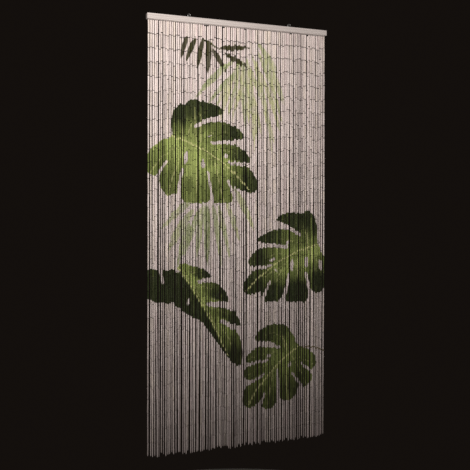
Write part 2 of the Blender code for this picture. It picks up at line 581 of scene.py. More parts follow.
# Name, where a node sits and how much it swells, taper, bow in metres, and whether it is a tip
KINDS = [
    ("tube_0_even", None, 0.00, 0.00, 0.0000, False),
    ("tube_1_node", 0.34, 0.06, -0.02, 0.0002, False),
    ("tube_2_slim_top", None, 0.00, 0.07, 0.0003, False),
    ("tube_3_slim_foot", None, 0.00, -0.07, -0.0002, False),
    ("tube_4_low_node", 0.83, 0.07, 0.02, 0.0002, False),
    ("tube_5_bowed", None, 0.00, 0.00, 0.0005, False),
    ("tube_6_tip", None, 0.00, 0.00, 0.0002, True),
]


def tube_rings(node_at, swell_by, taper, bow, is_tip):
    """Rings from the top as (height, radius, bow, painted bore shade) rows, for a tube 1 m thick.
    """
    half = NATURAL_LENGTH / 2
    yield (half - BORE_DEPTH, BORE_RADIUS, 0.0, 1.0)
    yield (half, LIP_RADIUS, 0.0, 0.0)
    for share in BODY_RINGS:
        swell = swell_by if node_at == share else 0.0
        radius = 0.5 * (1 + swell + taper * (share - 0.5))
        height = half - EASE - share * (NATURAL_LENGTH - 2 * EASE)
        if is_tip and share == 1.0:
            radius *= TIP_DRAWN_IN
            height += TIP_LENGTH
        yield (height, radius, bow * math.sin(math.pi * share), 0.0)
    if is_tip:
        for above, radius, dark in TIP_RINGS:
            yield (above - half, radius, 0.0, dark)
    else:
        yield (-half, LIP_RADIUS, 0.0, 0.0)
        yield (-half + BORE_DEPTH, BORE_RADIUS, 0.0, 1.0)


def mapped_mesh(name, points, faces, patches):
    """A mesh whose faces each have their patch of the map: one place for every corner."""
    mesh = bpy.data.meshes.new(name)
    mesh.from_pydata([tuple(p) for p in points], [], faces)
    layer = mesh.uv_layers.new(name=MAP_NAME)
    for corner, place in zip(layer.data, [place for patch in patches for place in patch]):
        corner.uv = place
    mesh.shade_smooth()
    return mesh


def cap_patch(middle):
    """A small eight-sided patch for the bottom of a bore, above the patches of the wall."""
    for side in range(SIDES):
        angle = 2 * math.pi * side / SIDES
        yield (middle + CAP_WIDE * math.cos(angle), CAP_HEIGHT + CAP_HIGH * math.sin(angle))


def tube_kind(name, *shape):
    """One tube with unit thickness, so that the scale across is its real thickness in metres."""
    rings = list(tube_rings(*shape))
    points, faces, patches, bore = [], [], [], []
    for height, radius, bow, dark in rings:
        for side in range(SIDES):
            angle = 2 * math.pi * (side + 0.5) / SIDES
            x = radius * math.cos(angle) + bow / TUBE_THICKNESS
            points.append((x, radius * math.sin(angle), height))
            bore.append(dark)
    rise = WALL_PATCH / (len(rings) - 1)
    for ring in range(len(rings) - 1):
        for side in range(SIDES):
            a, b = ring * SIDES + side, ring * SIDES + (side + 1) % SIDES
            faces.append((b, a, a + SIDES, b + SIDES))
            left, right = side / SIDES, (side + 1) / SIDES
            top, foot = ring * rise, (ring + 1) * rise
            patches.append([(right, top), (left, top), (left, foot), (right, foot)])
    faces.append(tuple(range(SIDES)))
    faces.append(tuple(reversed(range(len(points) - SIDES, len(points)))))
    upper, lower = (list(cap_patch(middle)) for middle in CAP_MIDDLES)
    patches += [upper, lower[::-1]]
    mesh = mapped_mesh(name, points, faces, patches)
    # The bore number marks where the bore bottoms and the tip are painted dark: painted shade.
    mesh.attributes.new("bore", "FLOAT", "POINT").data.foreach_set("value", bore)
    mesh.set_sharp_from_angle(angle=TUBE_CREASE)
    return bpy.data.objects.new(name, mesh)


def shelf(name, objects):
    """A collection that holds the shapes to be hung, until the hanging is done."""
    made = bpy.data.collections.new(name)
    bpy.context.scene.collection.children.link(made)
    for obj in objects:
        made.objects.link(obj)
    return made


tube_kinds = shelf("Tube kinds", [tube_kind(*kind) for kind in KINDS])

# %% [markdown]
# ## Painted bamboo, and the leaves on it
#
# The tubes are painted white, thinly enough that the fibres of the bamboo show as fine lines
# along each tube. No two tubes took the paint alike: some are creamier, some pinker, some
# greyer. Part of the grey is painted shade: whole strands greyed in place of the shadows of their
# neighbours, and tubes greyed more towards the bottom. The paint is chalky and has no gloss at
# all. With any gloss, light that comes through the gaps from behind would glance off the tube
# walls as white sparks.
#
# The leaves come from numbers that are worked out for every point of every tube, further down,
# and stored on the mesh: how far the point is inside a leaf, how light the leaf is there, and
# how near a rib runs. The finish turns those numbers into green paint with an edge that stays
# sharp however close the camera comes. Fronds are brushed on in broken, patchy strokes. The
# distance to a rib or the stalk is stored with a sign for its side and loses the sign only
# here: between two rings of points the numbers run evenly, so a line thinner than the rings are
# apart is still found where the number goes through zero.

# %% Painted bamboo
TUBE_WHITE = (0.745, 0.645, 0.612)
TUBE_CREAM = (0.733, 0.629, 0.554)
TUBE_PINK = (0.717, 0.589, 0.571)
TUBE_SHADE_GREY = (0.348, 0.291, 0.278)
TUBE_FIBRE = (0.383, 0.319, 0.290)
BORE_SHADE = (0.020, 0.015, 0.012)
LEAF_DARK = (0.028, 0.036, 0.014)
LEAF_MIDDLE = (0.145, 0.174, 0.051)
LEAF_LIGHT = (0.377, 0.441, 0.139)
LEAF_RIB = (0.708, 0.684, 0.313)
STALK_BROWN = (0.174, 0.133, 0.052)
FROND_DARK = (0.058, 0.055, 0.024)
FROND_MIDDLE = (0.273, 0.348, 0.107)
FROND_PALE = (0.487, 0.505, 0.209)
FIBRES = (1500.0, 1500.0, 34.0)
SPECKS = (900.0, 900.0, 420.0)
STROKES = (90.0, 90.0, 26.0)
MIDDLE_TINT = 0.55

# Edges and lines of paint, in metres from the drawn line: where the paint starts and is full
RAGGED_EDGE = 0.006
FROND_EDGE = (-0.0012, 0.0026)
LEAF_EDGE = (-0.0006, 0.0010)
STALK_LINE = (0.0046, 0.0024)
VEIN_LINE = (0.0042, 0.0016)
RIB_LINE = (0.0052, 0.0020)


def frond_paint(tree, under, tint, ragged):
    """Brushed strokes: patchy on the pale fronds, whole on the dark sprig."""
    tone = attribute(tree, "frond_tone")
    green = blend_colours(tree, spread(tree, tone, 0.0, 0.5), FROND_DARK, FROND_MIDDLE)
    # The tint, with its painted shade, shifts the pale strokes and their strength.
    pale = maths(tree, "ADD", tone, about(tree, tint, MIDDLE_TINT, 0.55))
    green = blend_colours(tree, spread(tree, pale, 0.5, 0.95), green, FROND_PALE)
    clear, bright = spread(tree, tone, 0.15, 0.6, 0.78, 0.50), maths(tree, "MULTIPLY", tint, 0.30)
    strength = maths(tree, "ADD", clear, bright, clamp=True)
    thinnest = spread(tree, tone, 0.10, 0.45, 1.0, 0.60)
    patches = spread(tree, noise(tree, STROKES), 0.38, 0.56, thinnest, 1.0)
    strength = maths(tree, "MULTIPLY", strength, patches)
    inside = maths(tree, "ADD", attribute(tree, "frond_edge"), ragged)
    brushed = maths(tree, "MULTIPLY", spread(tree, inside, *FROND_EDGE), strength)
    return blend_colours(tree, brushed, under, green)


def leaf_paint(tree, under, fibre, tint):
    """Fronds first, then the stalk, then the broad leaves over them with their veins and rib."""
    ragged = about(tree, fibre, 0.5, RAGGED_EDGE)
    colour = frond_paint(tree, under, tint, ragged)
    stalk = maths(tree, "ABSOLUTE", attribute(tree, "stalk"))
    colour = blend_colours(tree, spread(tree, stalk, *STALK_LINE, 0.0, 0.85), colour, STALK_BROWN)
    tone = attribute(tree, "leaf_tone")
    # The tint, with its painted shade, shifts the tone of the leaves from strand to strand.
    tone = maths(tree, "ADD", tone, about(tree, tint, MIDDLE_TINT, 0.80))
    green = blend_colours(tree, spread(tree, tone, 0.0, 0.5), LEAF_DARK, LEAF_MIDDLE)
    green = blend_colours(tree, spread(tree, tone, 0.5, 1.0), green, LEAF_LIGHT)
    vein = spread(tree, attribute(tree, "leaf_vein"), *VEIN_LINE, 0.0, 0.34)
    vein = maths(tree, "MULTIPLY", vein, spread(tree, tone, 0.05, 0.45))
    green = blend_colours(tree, vein, green, LEAF_RIB)
    rib = maths(tree, "ABSOLUTE", attribute(tree, "leaf_rib"))
    green = blend_colours(tree, spread(tree, rib, *RIB_LINE, 0.0, 0.62), green, LEAF_RIB)
    green = blend_colours(tree, spread(tree, fibre, 0.50, 0.68, 0.0, 0.07), green, under)
    inside = maths(tree, "ADD", attribute(tree, "leaf_edge"), ragged)
    return blend_colours(tree, spread(tree, inside, *LEAF_EDGE), colour, green)


def painted_bamboo():
    made, tree, shader = finish("White painted bamboo with leaves", 0.60)
    shader.inputs["Specular IOR Level"].default_value = 0.0
    fibre, specks = noise(tree, FIBRES, 3.0, 0.6), noise(tree, SPECKS)
    tint, warmth = attribute(tree, "tint"), attribute(tree, "warmth")
    white = TUBE_WHITE
    for number, span, other in [
        (warmth, (0.5, 1.0), TUBE_CREAM),
        (warmth, (0.5, 0.0), TUBE_PINK),
        # A low tint greys the white: random tone and painted shade of neighbouring strands.
        (tint, (0.62, 0.10, 0.0, 0.80), TUBE_SHADE_GREY),
        (fibre, (0.54, 0.30, 0.0, 0.55), TUBE_FIBRE),
        (specks, (0.70, 0.76, 0.0, 0.55), TUBE_FIBRE),
    ]:
        white = blend_colours(tree, spread(tree, number, *span), white, other)
    colour = leaf_paint(tree, white, fibre, tint)
    # Bore bottoms and tips painted near black: painted shade of a bore that runs through.
    colour = blend_colours(tree, attribute(tree, "bore"), colour, BORE_SHADE)
    plug(tree, colour, shader.inputs["Base Color"])
    plug(tree, spread(tree, fibre, 0.3, 0.7, 0.70, 0.54), shader.inputs["Roughness"])
    bump(tree, shader, fibre, 0.35, 0.0003)
    return made


bamboo = painted_bamboo()
print("bamboo finish:", len(bamboo.node_tree.nodes), "nodes")

# %% [markdown]
# ## Hanging the tubes with Geometry Nodes
#
# Nearly three thousand tubes are too many to place by hand. Geometry Nodes put one tube on each
# point of a cloud: the points carry the kind, the lean and the stretch of their tube, and the
# tree turns each tube about its own length by chance. The tree ends in Realize Instances, which
# makes real faces of the copies, and in Set Material.

# %% A tree that hangs tubes
TREE_INPUTS = [
    ("Points", "NodeSocketGeometry"),
    ("Kinds", "NodeSocketCollection"),
    ("Spin seed", "NodeSocketInt"),
    ("Finish", "NodeSocketMaterial"),
]
MOST_SPIN = 3
SPIN_RESULT = 1


def named(tree, name, kind):
    made = node(tree, "GeometryNodeInputNamedAttribute", data_type=kind)
    made.inputs["Name"].default_value = name
    return made.outputs["Attribute"]


def hanging_tree():
    """The tree, and the identifier of each of its inputs."""
    tree = bpy.data.node_groups.new("Hang tubes", "GeometryNodeTree")
    sockets = tree.interface
    sockets.new_socket(name="Geometry", in_out="OUTPUT", socket_type="NodeSocketGeometry")
    found = {}
    for name, kind in TREE_INPUTS:
        made = sockets.new_socket(name=name, in_out="INPUT", socket_type=kind)
        found[name] = made.identifier
    given = node(tree, "NodeGroupInput")
    kinds = node(tree, "GeometryNodeCollectionInfo", transform_space="ORIGINAL")
    kinds.inputs["Separate Children"].default_value = True
    kinds.inputs["Reset Children"].default_value = True
    hang = node(tree, "GeometryNodeInstanceOnPoints")
    hang.inputs["Pick Instance"].default_value = True
    spin = node(tree, "FunctionNodeRandomValue", data_type="FLOAT")
    spin.inputs[MOST_SPIN].default_value = 2 * math.pi
    upright = node(tree, "ShaderNodeCombineXYZ")
    turn = node(tree, "GeometryNodeRotateInstances")
    real = node(tree, "GeometryNodeRealizeInstances")
    coat = node(tree, "GeometryNodeSetMaterial")
    out = node(tree, "NodeGroupOutput")
    for source, target in [
        (given.outputs["Kinds"], kinds.inputs["Collection"]),
        (given.outputs["Points"], hang.inputs["Points"]),
        (kinds.outputs[0], hang.inputs["Instance"]),
        (named(tree, "kind", "INT"), hang.inputs["Instance Index"]),
        (named(tree, "lean", "FLOAT_VECTOR"), hang.inputs["Rotation"]),
        (named(tree, "stretch", "FLOAT_VECTOR"), hang.inputs["Scale"]),
        (given.outputs["Spin seed"], spin.inputs["Seed"]),
        (spin.outputs[SPIN_RESULT], upright.inputs["Z"]),
        (hang.outputs[0], turn.inputs["Instances"]),
        (upright.outputs[0], turn.inputs["Rotation"]),
        (turn.outputs[0], real.inputs[0]),
        (real.outputs[0], coat.inputs[0]),
        (given.outputs["Finish"], coat.inputs["Material"]),
        (coat.outputs[0], out.inputs[0]),
    ]:
        tree.links.new(source, target)
    return tree, found


hanging, hanging_sockets = hanging_tree()
print("tree inputs:", list(hanging_sockets))

# %% [markdown]
# ## One point for each tube
#
# The cloud of points is where numbers meet nodes. Every tube leans along its strand line, with
# a little chance, and carries two numbers for its colour: a warmth, and a tint that is also
# painted shade. Part of each number is shared all down a strand: for the warmth because the
# tubes of one strand came from the same stems, for the tint as painted shade that stands in for
# the shadows of neighbouring strands. The tint darkens further down a strand as painted shade,
# more on some strands than on others. The strands are hung in five bunches, so that no piece
# grows too heavy.

# %% Points for the tubes
BUNCHES = 5
KIND_SEED = 7
LEAN_SPREAD = math.radians(0.35)
# The tint is tone and painted shade: its part shared down a strand stands in for the shadows of
# neighbouring strands, and the shade down a strand darkens the lower tubes.
TINT_LEAST = 0.28
STRAND_SHADE_SHARE = 0.62
STRAND_WARMTH = 0.45
SHADE_DOWN_MOST = 0.74
SHADE_DOWN_POWER = 0.8
SHADE_DOWN_UNEVEN = 1.5
VECTOR_TABLE = 3


def mixed_chance(chance, shape, by_strand):
    """Numbers from 0 to 1 that are partly the same all down a strand."""
    strand = chance.random((shape[0], 1))
    return by_strand * strand + (1 - by_strand) * chance.random(shape)


def shade_down_strand(chance, shape):
    """Painted shade that grows down a strand, more on some strands than on others."""
    down = np.linspace(0, 1, shape[1])[None, :]
    return 1 - SHADE_DOWN_MOST * down**SHADE_DOWN_POWER * chance.random((shape[0], 1)) ** SHADE_DOWN_UNEVEN


def tube_points():
    """For every tube: middle, lean, stretch, kind, warmth, and tint with painted shade."""
    chance = np.random.default_rng(KIND_SEED)
    top_x, top_y = on_line(line_x, tube_tops), on_line(line_y, tube_tops)
    low_x, low_y = on_line(line_x, tube_bottoms), on_line(line_y, tube_bottoms)
    long = tube_tops - tube_bottoms
    kind = chance.integers(0, len(KINDS) - 1, tube_tops.shape)
    kind[:, -1] = len(KINDS) - 1
    lean_x = np.arctan2(low_y - top_y, long) + chance.normal(0, LEAN_SPREAD, long.shape)
    lean_y = np.arctan2(top_x - low_x, long) + chance.normal(0, LEAN_SPREAD, long.shape)
    middle = ((top_x + low_x) / 2, (top_y + low_y) / 2, (tube_tops + tube_bottoms) / 2)
    tint = TINT_LEAST + (1 - TINT_LEAST) * mixed_chance(chance, long.shape, STRAND_SHADE_SHARE)
    return {
        "middle": np.stack(middle, -1),
        "lean": np.stack([lean_x, lean_y, np.zeros_like(long)], -1),
        "stretch": np.stack([tube_thick, tube_thick, long / NATURAL_LENGTH], -1),
        "kind": kind,
        "tint": tint * shade_down_strand(chance, long.shape),
        "warmth": mixed_chance(chance, long.shape, STRAND_WARMTH),
    }


def store(mesh, key, values):
    """Writes one whole number, number or vector for each point of a mesh."""
    if values.ndim == VECTOR_TABLE:
        stored = mesh.attributes.new(key, "FLOAT_VECTOR", "POINT")
        stored.data.foreach_set("vector", values.ravel())
    else:
        kind = "INT" if values.dtype.kind == "i" else "FLOAT"
        mesh.attributes.new(key, kind, "POINT").data.foreach_set("value", values.ravel())


def hang_up(name, table, chosen, kinds, seed, material):
    """A point cloud from some rows of a table, with one shape hung on each, as a plain mesh."""
    mesh = bpy.data.meshes.new(name + "_points")
    middle = table["middle"][chosen].reshape(-1, 3)
    mesh.from_pydata([tuple(p) for p in middle], [], [])
    for key, values in table.items():
        if key != "middle":
            store(mesh, key, values[chosen])
    store(mesh, "tube", np.arange(len(middle)))
    cloud = link(bpy.data.objects.new(mesh.name, mesh))
    modifier = cloud.modifiers.new("Hang tubes", "NODES")
    modifier.node_group = hanging
    modifier[hanging_sockets["Kinds"]] = kinds
    modifier[hanging_sockets["Spin seed"]] = seed
    modifier[hanging_sockets["Finish"]] = material
    return plain_mesh(cloud, name)


tubes = tube_points()
bunches = []
for index in range(BUNCHES):
    chosen = slice(index * STRANDS // BUNCHES, (index + 1) * STRANDS // BUNCHES)
    bunches.append(hang_up(f"tubes_{index + 1}", tubes, chosen, tube_kinds, index, bamboo))
print("bunches:", {o.name: len(o.data.polygons) for o in bunches})

# %% [markdown]
# ## Drawing leaves with formulas
#
# A leaf here is no picture. It is a few curved fingers, each a line that sets off from a root in
# some direction, bends steadily and ends after some length, with a width that swells and then
# draws in. A point is inside a finger if it lies nearer to that line than the finger is wide
# there, and the difference tells how far inside. Broad leaves are fat fingers that run
# together, cut by thin ones that reach in from the edge or trim it flat, with a few oval
# holes. Fronds are slim pointed fingers. The start and end of every finger were placed over the
# photograph and then turned into real size. Every place and length below is in
# millimetres, seen from the front, and every angle in degrees, with 0 to the right and 90 up.

# %% Leaf tables
# Rib: start x and z, direction, length, bend.
# Lobes: root x and z, direction, length, bend, half width, tone at root and tip, bluntness.
# Cuts: mouth x and z, direction, length, bend, half width.
# Holes: middle x and z, half width, half length, turn.
LEAVES = [
    {
        "name": "upper left leaf",
        "rib": (-332, -548, -14, 439, -36),
        "lobes": [
            (-276, -566, -29, 322, -12, 61, 0.85, 0.7, 4.0),
            (-280, -571, 95, 159, -4, 49, 0.66, 0.04, 6.0),
            (-218, -560, 93, 167, 0, 64, 0.66, 0.04, 6.0),
            (-194, -554, 89, 157, -2, 57, 0.66, 0.04, 6.0),
            (-256, -547, 87, 238, -104, 57, 0.7, 0.04, 2.2),
            (-199, -545, 24, 223, -45, 51, 0.8, 0.02, 2.6),
            (-140, -603, 1, 199, -32, 43, 0.82, 0.02, 3.0),
            (-101, -672, -18, 210, -30, 62, 0.82, 0.06, 4.0),
            (-126, -663, -77, 174, 2, 67, 0.92, 0.46, 12.0),
            (-208, -633, -93, 200, 0, 83, 1.0, 0.58, 12.0),
            (-275, -607, -117, 199, 12, 66, 1.0, 0.5, 7.0),
            (-313, -599, -156, 164, 40, 63, 0.9, 0.6, 4.0),
        ],
        "cuts": [
            (-57, -456, -183, 169, 34, 10.7), (29, -558, -174, 170, -3, 8.9),
            (85, -674, 176, 142, -4, 9), (-11, -857, 112, 122, 4, 7.5),
            (-135, -862, 97, 159, 4, 6.2), (-304, -831, 85, 138, -8, 7.3),
            (-266, -866, 1, 244, 0, 14.6), (-420, -751, 52, 116, 8, 6.3),
        ],
        "holes": [
            (-266, -644, 8.7, 29.6, 82), (-184, -671, 9.7, 20.7, 97),
            (-153, -541, 4.6, 11.5, 10), (-71, -631, 8.4, 12.1, 60),
        ],
    },
    {
        "name": "right leaf",
        "rib": (398, -1053, -169, 411, 36),
        "lobes": [
            (349, -1069, -154, 290, 16, 61, 0.85, 0.65, 4.0),
            (349, -1083, 72, 283, 134, 57, 0.62, 0.06, 2.0),
            (352, -1083, 91, 180, 0, 53, 0.62, 0.06, 9.0),
            (311, -1046, 154, 229, 44, 49, 0.7, 0.06, 2.8),
            (231, -1088, -178, 190, 22, 51, 0.75, 0.06, 3.4),
            (210, -1148, -154, 220, 12, 58, 0.78, 0.05, 4.0),
            (221, -1153, -120, 159, 10, 61, 0.9, 0.04, 12.0),
            (301, -1121, -93, 186, 0, 76, 1.0, 0.04, 14.0),
            (371, -1084, -78, 186, 0, 60, 0.95, 0.02, 7.0),
            (376, -1094, -51, 119, -10, 46, 0.9, 0.35, 4.0),
        ],
        "cuts": [
            (168, -935, -13, 160, -25, 9.1), (65, -1040, -2, 178, -8, 9.4),
            (30, -1164, 8, 130, 4, 8), (107, -1311, 60, 104, 8, 7.1),
            (219, -1326, 74, 142, 4, 8.2), (86, -1327, -3, 291, 0, 15.1),
            (435, -884, -95, 162, 0, 16.7), (374, -1308, 107, 126, -6, 8.3),
        ],
        "holes": [
            (269, -1145, 9.2, 28, 88), (346, -1134, 9.7, 26.7, 90), (423, -1148, 9.8, 26.9, 95),
            (166, -1116, 7.2, 16.2, 10), (244, -1038, 6.7, 12.5, 60),
            (184, -1166, 5.7, 11.5, -20),
        ],
    },
    {
        "name": "lower right leaf",
        "rib": (296, -1544, -150, 357, 30),
        "lobes": [
            (264, -1568, -144, 211, 16, 60, 0.76, 0.66, 4.0),
            (243, -1572, 78, 246, 158, 53, 0.66, 0.24, 2.2),
            (243, -1562, 110, 126, -10, 50, 0.66, 0.24, 5.0),
            (180, -1558, -180, 154, 24, 39, 0.66, 0.28, 3.4),
            (143, -1612, -164, 129, 16, 40, 0.66, 0.3, 4.5),
            (133, -1678, -135, 152, 10, 52, 0.7, 0.32, 6.0),
            (164, -1666, -100, 138, 2, 55, 0.72, 0.36, 8.0),
            (237, -1610, -88, 159, 2, 63, 0.76, 0.4, 9.0),
            (269, -1583, -58, 144, -6, 63, 0.74, 0.42, 7.0),
            (275, -1584, -14, 115, -20, 53, 0.76, 0.42, 5.0),
        ],
        "cuts": [
            (71, -1513, -3, 134, -14, 8.5), (20, -1611, 7, 124, 4, 7),
            (10, -1708, 17, 103, 6, 7), (92, -1822, 62, 85, 6, 6.2),
            (198, -1818, 91, 182, 0, 5.7), (334, -1753, 126, 109, 0, 6.3),
            (393, -1680, 144, 93, -4, 6.8),
        ],
        "holes": [
            (146, -1572, 7.6, 15.2, 10), (256, -1623, 7.2, 15.4, 80),
            (117, -1658, 5.7, 13.3, 20),
        ],
    },
    {
        "name": "folded leaf, dark half",
        "lobes": [
            (-317, -1202, 169, 146, 0, 39, 0.0, 0.0, 6.0),
            (-265, -1245, 176, 205, 0, 62, 0.0, 0.0, 6.0),
            (-303, -1217, 140, 73, 0, 41, 0.0, 0.0, 4.0),
            (-322, -1225, -44, 209, -6, 57, 0.0, 0.02, 3.0),
            (-246, -1292, -48, 346, -16, 24, 0.0, 0.04, 1.6),
        ],
        "cuts": [
            (-390, -1119, -80, 96, 0, 7.6),
        ],
        "holes": [
            (-253, -1300, 5.9, 16.4, 75),
        ],
    },
    {
        "name": "folded leaf, light half",
        "rib": (-303, -1144, -54, 492, -12),
        "one_side": True,
        "lobes": [
            (-275, -1163, -54, 423, -14, 43, 0.8, 0.7, 4.0),
            (-294, -1167, 9, 160, -40, 30, 0.8, 0.05, 2.4),
            (-231, -1228, -3, 194, -44, 40, 0.88, 0.02, 2.6),
            (-173, -1322, -12, 207, -40, 42, 0.88, 0.02, 2.6),
            (-100, -1418, -51, 215, -26, 53, 0.82, 0.05, 2.6),
        ],
        "cuts": [
            (-130, -1204, -178, 73, 4, 10.2), (-40, -1333, 165, 115, 14, 13.5),
            (5, -1443, 158, 105, -6, 11.7),
        ],
        "holes": [],
    },
]

# Leaflets: root x and z, direction, length, bend, half width, tone.
FRONDS = {
    "light frond": [
        (84, -90, -43, 174, -16, 14.2, 0.66), (99, -108, -55, 304, -18, 12.3, 0.7),
        (115, -159, -57, 248, -14, 11.4, 0.66), (79, -114, -61, 395, -16, 12.3, 0.7),
        (53, -135, -70, 500, -14, 12.3, 0.75), (28, -151, -79, 454, -6, 12.2, 0.7),
        (3, -177, -76, 290, -4, 12.7, 0.6), (-12, -187, -95, 198, 2, 12.6, 0.6),
        (-32, -184, -146, 280, 22, 13.5, 0.5), (8, -223, -144, 256, 20, 13.1, 0.48),
        (-2, -205, -129, 171, 14, 12.7, 0.5), (-62, -312, -107, 164, 10, 11.2, 0.7),
        (110, -358, -69, 226, -8, 10.4, 0.8), (33, -221, -91, 273, 0, 10.8, 0.75),
        (131, -281, -68, 257, -8, 10.9, 0.75), (-22, -291, -107, 166, 6, 10.8, 0.65),
        (-72, -224, -142, 181, 14, 10.7, 0.72), (-22, -244, -127, 213, 12, 10.8, 0.78),
        (23, -269, -113, 213, 8, 10.3, 0.82), (-2, -243, -82, 291, -3, 11.7, 0.62),
        (33, -184, -64, 208, -8, 10.8, 0.7), (49, -296, -73, 260, -6, 10.4, 0.85),
        (-32, -245, -110, 217, 8, 11.2, 0.9), (33, -231, -86, 254, -4, 11.3, 0.9),
        (59, -286, -86, 330, -4, 10.8, 0.85), (79, -171, -76, 296, -8, 11.3, 0.9),
        (100, -217, -65, 287, -12, 10.9, 0.9), (13, -176, -91, 188, 2, 10.3, 0.85),
    ],
    "faint frond": [
        (-213, -816, -144, 237, 12, 16.5, 0.68), (-222, -871, -130, 226, 10, 16, 0.63),
        (-246, -935, -109, 212, 6, 16.9, 0.5), (-184, -848, -97, 277, 0, 14.3, 0.58),
        (-160, -848, -90, 300, 0, 12, 0.3), (-135, -848, -80, 305, -4, 14.3, 0.58),
        (-31, -777, -59, 233, -8, 16.8, 0.73), (-71, -834, -69, 217, -4, 13, 0.73),
        (-194, -862, -111, 251, 4, 14.2, 0.48), (-111, -852, -75, 278, -4, 13, 0.63),
        (-256, -908, -124, 188, 8, 21, 0.72), (-174, -848, -89, 304, 0, 9.2, 0.5),
    ],
    "dark sprig": [
        (-260, -87, -111, 117, 10, 11.9, 0.0), (-219, -90, -117, 130, 10, 12.8, 0.0),
        (-185, -92, -104, 150, 6, 13.3, 0.0), (-156, -96, -92, 162, 0, 15.7, 0.0),
        (-141, -134, -54, 144, -8, 12.9, 0.0), (-82, -153, -22, 166, -12, 13, 0.0),
        (-107, -132, 7, 166, -4, 13.9, 0.0), (-204, -91, -19, 143, -16, 6, 0.1),
    ],
}

# Stalk: start x and z, direction, length, bend.
STALK = (445, -1571, 151, 171, 46)

print("leaves:", [leaf["name"] for leaf in LEAVES], "fronds:", list(FRONDS))

# %% Fingers
PER_METRE = 1000
FINGER_STEPS = 12
FAR = 1.0
LOBE_WIDTH, LOBE_BELLY, LOBE_END = 0.88, 0.14, 0.6
CUT_MOUTH, CUT_NARROWS = 1.2, 0.45
LEAFLET_SKEW, LEAFLET_FULLNESS = 0.75, 0.8
NEAR_MARGIN = 0.02


def lobe_width(bluntness):
    """Widest at mid length; a low bluntness draws a lobe in early, to a point."""

    def width(share):
        belly = LOBE_WIDTH + LOBE_BELLY * np.sin(math.pi * share)
        return belly * (1 - share**bluntness) ** LOBE_END

    return width


def cut_width(share):
    return CUT_MOUTH - CUT_NARROWS * share


def leaflet_width(share):
    return np.sin(math.pi * share**LEAFLET_SKEW) ** LEAFLET_FULLNESS


def line_only(share):
    return 0 * share


def finger(x, z, row, width_of):
    """For each point: how far inside, the share of the way to the tip, and the side offset."""
    start_x, start_z, length, wide = (row[at] / PER_METRE for at in (0, 1, 3, 5))
    heading, bend = row[2], row[4]
    share = np.linspace(0, 1, FINGER_STEPS + 1)
    angle = np.radians(heading + bend * (share[1:] + share[:-1]) / 2)
    piece = length / FINGER_STEPS
    corner_x = start_x + np.concatenate([[0], np.cumsum(np.cos(angle))]) * piece
    corner_z = start_z + np.concatenate([[0], np.cumsum(np.sin(angle))]) * piece
    half = wide * width_of(share)
    inside, near = np.full(len(x), -FAR), np.full(len(x), FAR)
    at, offset = np.zeros(len(x)), np.full(len(x), FAR)
    reach = length + 2 * wide + NEAR_MARGIN
    close = np.flatnonzero((np.abs(x - start_x) < reach) & (np.abs(z - start_z) < reach))
    for step in range(FINGER_STEPS):
        right, up = x[close] - corner_x[step], z[close] - corner_z[step]
        cos, sin = math.cos(angle[step]), math.sin(angle[step])
        along = np.clip((right * cos + up * sin) / piece, 0, 1)
        away = np.hypot(right - along * piece * cos, up - along * piece * sin)
        wide_here = half[step] + (half[step + 1] - half[step]) * along
        inside[close] = np.maximum(inside[close], wide_here - away)
        nearer = away < near[close]
        chosen = close[nearer]
        near[chosen] = away[nearer]
        at[chosen] = share[step] + along[nearer] / FINGER_STEPS
        offset[chosen] = (up * cos - right * sin)[nearer]
    return inside, at, offset


# %% Leaves and fronds
TONE_STARTS = 0.12
TONE_RUNS = 0.58
RIB_REACH = 0.004
OUTSIDE = 0.02
BLANK = {
    "leaf_edge": -OUTSIDE,
    "leaf_tone": 0.0,
    "leaf_rib": OUTSIDE,
    "leaf_vein": OUTSIDE,
    "frond_edge": -OUTSIDE,
    "frond_tone": 0.0,
    "stalk": OUTSIDE,
}


def oval_hole(x, z, hole):
    hole_x, hole_z, half_wide, half_long = (number / PER_METRE for number in hole[:4])
    cos, sin = math.cos(math.radians(hole[4])), math.sin(math.radians(hole[4]))
    along = (x - hole_x) * cos + (z - hole_z) * sin
    across = (z - hole_z) * cos - (x - hole_x) * sin
    return (np.hypot(along / half_long, across / half_wide) - 1) * half_wide


def line_offset(x, z, line):
    """The distance from a bent line, signed by its side, so that it runs evenly through zero."""
    inside, _, offset = finger(x, z, (*line, 0.0), line_only)
    return np.copysign(inside, offset), offset


def broad_leaf(x, z, leaf):
    """Lobes run together, then cuts and holes are taken away, and the rib is measured last."""
    edge, tone, vein = np.full(len(x), -FAR), np.zeros(len(x)), np.full(len(x), FAR)
    for row in leaf["lobes"]:
        at_root, at_tip, bluntness = row[6:]
        inside, at, offset = finger(x, z, row, lobe_width(bluntness))
        mine = inside > edge
        edge[mine] = inside[mine]
        faded = np.clip((at - TONE_STARTS) / TONE_RUNS, 0, 1)
        tone[mine] = (at_root + (at_tip - at_root) * faded)[mine]
        vein[mine] = np.abs(offset[mine])
    for row in leaf["cuts"]:
        edge = np.minimum(edge, -finger(x, z, row, cut_width)[0])
    for hole in leaf["holes"]:
        edge = np.minimum(edge, oval_hole(x, z, hole))
    rib = np.full(len(x), FAR)
    if "rib" in leaf:
        rib, offset = line_offset(x, z, leaf["rib"])
        if "one_side" in leaf:
            edge = np.minimum(edge, offset + RIB_REACH)
    return {"leaf_edge": edge, "leaf_tone": tone, "leaf_rib": rib, "leaf_vein": vein}


